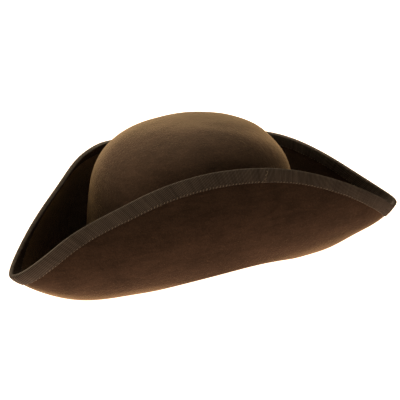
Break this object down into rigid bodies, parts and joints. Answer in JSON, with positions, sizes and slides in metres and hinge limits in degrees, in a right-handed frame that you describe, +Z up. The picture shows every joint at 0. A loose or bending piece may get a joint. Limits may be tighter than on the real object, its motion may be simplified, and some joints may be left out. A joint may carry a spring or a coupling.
{
  "type": "tricorn hat",
  "caption": "Felt tricorn hat with a smooth domed crown, a wide brim cocked up on three sides, and a ribbon bound over the brim's edge.",
  "frame": {"origin": "middle of the hat's outline, on the level surface that it rests on", "axes": "+Z up, the front point towards -Y, the wearer's left side towards +X"},
  "size_m": [0.2772, 0.3402, 0.1234],
  "materials": {
    "felt": "matt brown wool felt",
    "binding": "ribbed olive brown ribbon"
  },
  "bodies": {
    "root": {"felt_body": "felt", "brim_binding": "binding"}
  },
  "joints": []
}
